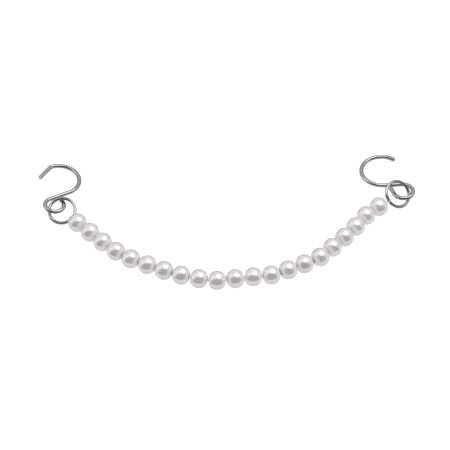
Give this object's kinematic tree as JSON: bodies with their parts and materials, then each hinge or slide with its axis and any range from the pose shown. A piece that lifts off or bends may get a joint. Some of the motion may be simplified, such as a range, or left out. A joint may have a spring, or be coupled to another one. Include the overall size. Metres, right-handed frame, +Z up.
{
  "type": "pearl tie chain",
  "caption": "Curved strand of imitation pearl beads on a clear thread, with a metal jump ring and an S-shaped wire hook at each end, laid flat.",
  "frame": {"origin": "under the middle of the whole chain, on the flat surface that it lies on", "axes": "+X along the chain from the left hook to the right hook, +Y away from the belly of its curve, +Z up from the surface"},
  "size_m": [0.1192, 0.0562, 0.006],
  "materials": {
    "pearl": "pearl lacquer over moulded plastic, smooth and glossy",
    "nickel": "bright nickel plate on steel wire, polished",
    "thread": "translucent nylon thread"
  },
  "bodies": {
    "strand_11": {"thread_11": "thread"},
    "strand_01": {"thread_01": "thread"},
    "strand_02": {"thread_02": "thread"},
    "strand_03": {"thread_03": "thread"},
    "strand_04": {"thread_04": "thread"},
    "strand_05": {"thread_05": "thread"},
    "strand_06": {"thread_06": "thread"},
    "strand_07": {"thread_07": "thread"},
    "strand_08": {"thread_08": "thread"},
    "strand_09": {"thread_09": "thread"},
    "strand_10": {"thread_10": "thread"},
    "strand_12": {"thread_12": "thread"},
    "strand_13": {"thread_13": "thread"},
    "strand_14": {"thread_14": "thread"},
    "strand_15": {"thread_15": "thread"},
    "strand_16": {"thread_16": "thread"},
    "strand_17": {"thread_17": "thread"},
    "strand_18": {"thread_18": "thread"},
    "strand_19": {"thread_19": "thread"},
    "strand_20": {"thread_20": "thread"},
    "strand_21": {"thread_21": "thread"},
    "bead_01": {"pearl_01": "pearl"},
    "bead_02": {"pearl_02": "pearl"},
    "bead_03": {"pearl_03": "pearl"},
    "bead_04": {"pearl_04": "pearl"},
    "bead_05": {"pearl_05": "pearl"},
    "bead_06": {"pearl_06": "pearl"},
    "bead_07": {"pearl_07": "pearl"},
    "bead_08": {"pearl_08": "pearl"},
    "bead_09": {"pearl_09": "pearl"},
    "bead_10": {"pearl_10": "pearl"},
    "bead_11": {"pearl_11": "pearl"},
    "bead_12": {"pearl_12": "pearl"},
    "bead_13": {"pearl_13": "pearl"},
    "bead_14": {"pearl_14": "pearl"},
    "bead_15": {"pearl_15": "pearl"},
    "bead_16": {"pearl_16": "pearl"},
    "bead_17": {"pearl_17": "pearl"},
    "bead_18": {"pearl_18": "pearl"},
    "bead_19": {"pearl_19": "pearl"},
    "bead_20": {"pearl_20": "pearl"},
    "bead_21": {"pearl_21": "pearl"},
    "left_ring": {"left_jump_ring": "nickel"},
    "left_hook": {"left_s_hook": "nickel"},
    "right_ring": {"right_jump_ring": "nickel"},
    "right_hook": {"right_s_hook": "nickel"}
  },
  "joints": [
    {"name": "bend_11_12", "type": "hinge", "parent": "strand_11", "child": "strand_12", "pos_m": [0.00548, -0.02365, 0.003], "axis": [0, 0, 1], "range_deg": [-3, 33]},
    {"name": "bend_12_13", "type": "hinge", "parent": "strand_12", "child": "strand_13", "pos_m": [0.01108, -0.02365, 0.003], "axis": [0, 0, 1], "range_deg": [-32, 4]},
    {"name": "bend_13_14", "type": "hinge", "parent": "strand_13", "child": "strand_14", "pos_m": [0.01652, -0.02229, 0.003], "axis": [0, 0, 1], "range_deg": [-33, 3]},
    {"name": "bend_14_15", "type": "hinge", "parent": "strand_14", "child": "strand_15", "pos_m": [0.02142, -0.01958, 0.003], "axis": [0, 0, 1], "range_deg": [-10, 26]},
    {"name": "bend_15_16", "type": "hinge", "parent": "strand_15", "child": "strand_16", "pos_m": [0.02664, -0.01757, 0.003], "axis": [0, 0, 1], "range_deg": [-34, 2]},
    {"name": "bend_16_17", "type": "hinge", "parent": "strand_16", "child": "strand_17", "pos_m": [0.03112, -0.0142, 0.003], "axis": [0, 0, -1], "range_deg": [-3, 33]},
    {"name": "bend_17_18", "type": "hinge", "parent": "strand_17", "child": "strand_18", "pos_m": [0.03456, -0.00979, 0.003], "axis": [0, 0, -1], "range_deg": [-28, 8]},
    {"name": "bend_18_19", "type": "hinge", "parent": "strand_18", "child": "strand_19", "pos_m": [0.03873, -0.00604, 0.003], "axis": [0, 0, -1], "range_deg": [-3, 33]},
    {"name": "bend_19_20", "type": "hinge", "parent": "strand_19", "child": "strand_20", "pos_m": [0.04177, -0.00134, 0.003], "axis": [0, 0, -1], "range_deg": [-26, 10]},
    {"name": "bend_20_21", "type": "hinge", "parent": "strand_20", "child": "strand_21", "pos_m": [0.04545, 0.00288, 0.003], "axis": [0, 0, -1], "range_deg": [-34, 2]},
    {"name": "bend_10_11", "type": "hinge", "parent": "strand_11", "child": "strand_10", "pos_m": [0.00007, -0.02509, 0.003], "axis": [0, 0, 1], "range_deg": [-2, 34]},
    {"name": "bend_09_10", "type": "hinge", "parent": "strand_10", "child": "strand_09", "pos_m": [-0.00552, -0.025, 0.003], "axis": [0, 0, 1], "range_deg": [-6, 30]},
    {"name": "bend_08_09", "type": "hinge", "parent": "strand_09", "child": "strand_08", "pos_m": [-0.01098, -0.02374, 0.003], "axis": [0, 0, 1], "range_deg": [-16, 20]},
    {"name": "bend_07_08", "type": "hinge", "parent": "strand_08", "child": "strand_07", "pos_m": [-0.01639, -0.02229, 0.003], "axis": [0, 0, 1], "range_deg": [-9, 27]},
    {"name": "bend_06_07", "type": "hinge", "parent": "strand_07", "child": "strand_06", "pos_m": [-0.02151, -0.02001, 0.003], "axis": [0, 0, 1], "range_deg": [-20, 16]},
    {"name": "bend_05_06", "type": "hinge", "parent": "strand_06", "child": "strand_05", "pos_m": [-0.0267, -0.01791, 0.003], "axis": [0, 0, -1], "range_deg": [-24, 12]},
    {"name": "bend_04_05", "type": "hinge", "parent": "strand_05", "child": "strand_04", "pos_m": [-0.03164, -0.01528, 0.003], "axis": [0, 0, -1], "range_deg": [-27, 9]},
    {"name": "bend_03_04", "type": "hinge", "parent": "strand_04", "child": "strand_03", "pos_m": [-0.03612, -0.01191, 0.003], "axis": [0, 0, -1], "range_deg": [-27, 9]},
    {"name": "bend_02_03", "type": "hinge", "parent": "strand_03", "child": "strand_02", "pos_m": [-0.04, -0.00788, 0.003], "axis": [0, 0, -1], "range_deg": [-14, 22]},
    {"name": "bend_01_02", "type": "hinge", "parent": "strand_02", "child": "strand_01", "pos_m": [-0.04417, -0.00414, 0.003], "axis": [0, 0, -1], "range_deg": [-21, 15]},
    {"name": "left_ring_flap", "type": "hinge", "parent": "strand_01", "child": "left_ring", "pos_m": [-0.04844, 0.00083, 0.00119], "axis": [0.7079, 0.6408, 0.2971], "range_deg": [0, 75]},
    {"name": "left_hook_swing", "type": "hinge", "parent": "left_ring", "child": "left_hook", "pos_m": [-0.05132, 0.00363, 0.00201], "axis": [-0.0745, -0.3505, 0.9336], "range_deg": [-25, 10]},
    {"name": "right_ring_flap", "type": "hinge", "parent": "strand_21", "child": "right_ring", "pos_m": [0.05118, 0.00663, 0.00301], "axis": [0.5841, -0.5447, -0.6018], "range_deg": [0, 80]},
    {"name": "right_hook_swing", "type": "hinge", "parent": "right_ring", "child": "right_hook", "pos_m": [0.05398, 0.00963, 0.00301], "axis": [0.4401, -0.4104, 0.7986], "range_deg": [-4, 30]},
    {"name": "spin_01", "type": "hinge", "parent": "strand_01", "child": "bead_01", "pos_m": [-0.04615, -0.00216, 0.003], "axis": [0.7071, -0.7071, 0], "continuous": true},
    {"name": "spin_02", "type": "hinge", "parent": "strand_02", "child": "bead_02", "pos_m": [-0.04209, -0.00601, 0.003], "axis": [0.7431, -0.6691, 0], "continuous": true},
    {"name": "spin_03", "type": "hinge", "parent": "strand_03", "child": "bead_03", "pos_m": [-0.03806, -0.0099, 0.003], "axis": [0.6947, -0.7193, 0], "continuous": true},
    {"name": "spin_04", "type": "hinge", "parent": "strand_04", "child": "bead_04", "pos_m": [-0.03388, -0.0136, 0.003], "axis": [0.7986, -0.6018, 0], "continuous": true},
    {"name": "spin_05", "type": "hinge", "parent": "strand_05", "child": "bead_05", "pos_m": [-0.02917, -0.0166, 0.003], "axis": [0.8829, -0.4695, 0], "continuous": true},
    {"name": "spin_06", "type": "hinge", "parent": "strand_06", "child": "bead_06", "pos_m": [-0.0241, -0.01896, 0.003], "axis": [0.9272, -0.3746, 0], "continuous": true},
    {"name": "spin_07", "type": "hinge", "parent": "strand_07", "child": "bead_07", "pos_m": [-0.01895, -0.02115, 0.003], "axis": [0.9135, -0.4067, 0], "continuous": true},
    {"name": "spin_08", "type": "hinge", "parent": "strand_08", "child": "bead_08", "pos_m": [-0.01368, -0.02301, 0.003], "axis": [0.9659, -0.2588, 0], "continuous": true},
    {"name": "spin_09", "type": "hinge", "parent": "strand_09", "child": "bead_09", "pos_m": [-0.00825, -0.02437, 0.003], "axis": [0.9744, -0.225, 0], "continuous": true},
    {"name": "spin_10", "type": "hinge", "parent": "strand_10", "child": "bead_10", "pos_m": [-0.00272, -0.02505, 0.003], "axis": [0.9998, -0.0174, 0], "continuous": true},
    {"name": "spin_11", "type": "hinge", "parent": "strand_11", "child": "bead_11", "pos_m": [0.00278, -0.02437, 0.003], "axis": [0.9659, 0.2588, 0], "continuous": true},
    {"name": "spin_12", "type": "hinge", "parent": "strand_12", "child": "bead_12", "pos_m": [0.00828, -0.02365, 0.003], "axis": [1, 0, 0], "continuous": true},
    {"name": "spin_13", "type": "hinge", "parent": "strand_13", "child": "bead_13", "pos_m": [0.0138, -0.02297, 0.003], "axis": [0.9703, 0.2419, 0], "continuous": true},
    {"name": "spin_14", "type": "hinge", "parent": "strand_14", "child": "bead_14", "pos_m": [0.01897, -0.02093, 0.003], "axis": [0.8746, 0.4848, 0], "continuous": true},
    {"name": "spin_15", "type": "hinge", "parent": "strand_15", "child": "bead_15", "pos_m": [0.02403, -0.01857, 0.003], "axis": [0.9336, 0.3584, 0], "continuous": true},
    {"name": "spin_16", "type": "hinge", "parent": "strand_16", "child": "bead_16", "pos_m": [0.02888, -0.01588, 0.003], "axis": [0.7986, 0.6018, 0], "continuous": true},
    {"name": "spin_17", "type": "hinge", "parent": "strand_17", "child": "bead_17", "pos_m": [0.03284, -0.01199, 0.003], "axis": [0.6157, 0.788, 0], "continuous": true},
    {"name": "spin_18", "type": "hinge", "parent": "strand_18", "child": "bead_18", "pos_m": [0.03664, -0.00791, 0.003], "axis": [0.7431, 0.6691, 0], "continuous": true},
    {"name": "spin_19", "type": "hinge", "parent": "strand_19", "child": "bead_19", "pos_m": [0.04025, -0.00369, 0.003], "axis": [0.5446, 0.8387, 0], "continuous": true},
    {"name": "spin_20", "type": "hinge", "parent": "strand_20", "child": "bead_20", "pos_m": [0.04361, 0.00077, 0.003], "axis": [0.6561, 0.7547, 0], "continuous": true},
    {"name": "spin_21", "type": "hinge", "parent": "strand_21", "child": "bead_21", "pos_m": [0.0478, 0.00441, 0.003], "axis": [0.8387, 0.5446, 0], "continuous": true}
  ]
}
